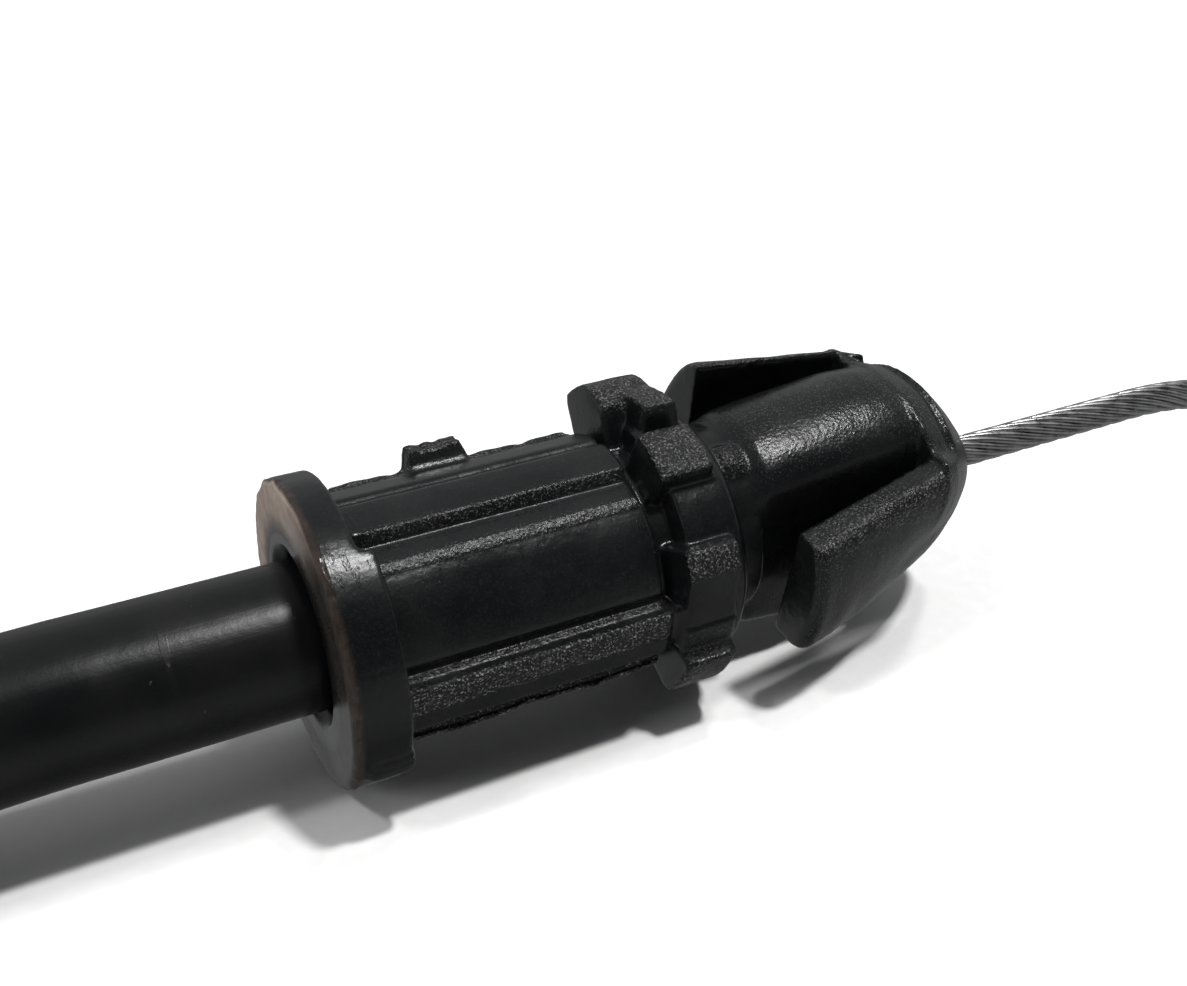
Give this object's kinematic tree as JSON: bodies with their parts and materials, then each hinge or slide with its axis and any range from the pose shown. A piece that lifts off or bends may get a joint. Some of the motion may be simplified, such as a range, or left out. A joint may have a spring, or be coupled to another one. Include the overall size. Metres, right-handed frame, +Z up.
{
  "type": "snap-in control cable conduit fitting",
  "caption": "Moulded snap-in conduit fitting with two flexing barbs on a black sheathed control cable, with a bare steel strand that slides through it.",
  "frame": {"origin": "on the floor, under the middle of the moulded fitting", "axes": "+X along the fitting from the conduit end to its nose, +Z up, -Y towards the viewer"},
  "size_m": [0.1601, 0.0837, 0.0191],
  "materials": {
    "fitting_nylon": "satin moulded nylon, pitted along ribs and edges",
    "conduit_jacket": "satin extruded jacket with fine scratches",
    "liner": "smooth",
    "armour_steel": "flat-wound spring wire",
    "strand_steel": "bright galvanised wires",
    "terminal_zinc": "die-cast zinc, slightly dull",
    "tie_nylon": "ribbed nylon strap"
  },
  "bodies": {
    "fitting": {"fitting_body": "fitting_nylon", "conduit_liner_near": "liner", "conduit_armour_near": "armour_steel", "conduit_jacket_near": "conduit_jacket", "conduit_run": "conduit_jacket", "conduit_coil": "conduit_jacket", "tie_1_band": "tie_nylon", "tie_1_head": "tie_nylon", "tie_2_band": "tie_nylon", "tie_2_head": "tie_nylon", "conduit_liner_far": "liner", "conduit_armour_far": "armour_steel", "conduit_jacket_far": "conduit_jacket", "conduit_ferrule_far": "terminal_zinc"},
    "barb_front": {"barb_front": "fitting_nylon"},
    "barb_back": {"barb_back": "fitting_nylon"},
    "core_near": {"wire_near": "strand_steel", "terminal_near": "terminal_zinc"},
    "core_far": {"wire_far": "strand_steel", "terminal_far": "terminal_zinc"}
  },
  "joints": [
    {"name": "barb_front_flex", "type": "hinge", "parent": "fitting", "child": "barb_front", "pos_m": [0.0112, -0.00515, 0.00587], "axis": [0, 0.1323, -0.9912], "range_deg": [0, 6.5], "stiffness_Nm_per_rad": 0.12},
    {"name": "barb_back_flex", "type": "hinge", "parent": "fitting", "child": "barb_back", "pos_m": [0.0112, 0.00515, 0.00725], "axis": [0, -0.1323, 0.9912], "range_deg": [0, 6.5], "stiffness_Nm_per_rad": 0.12},
    {"name": "strand_slide_near", "type": "slide", "parent": "fitting", "child": "core_near", "axis": [1, 0, 0], "range_m": [0, 0.008]},
    {"name": "strand_slide_far", "type": "slide", "parent": "fitting", "child": "core_far", "axis": [-0.977, 0, 0.213], "range_m": [0, 0.008]}
  ],
  "couplings": [
    {"joint": "strand_slide_far", "follows": "strand_slide_near", "ratio": 1}
  ]
}
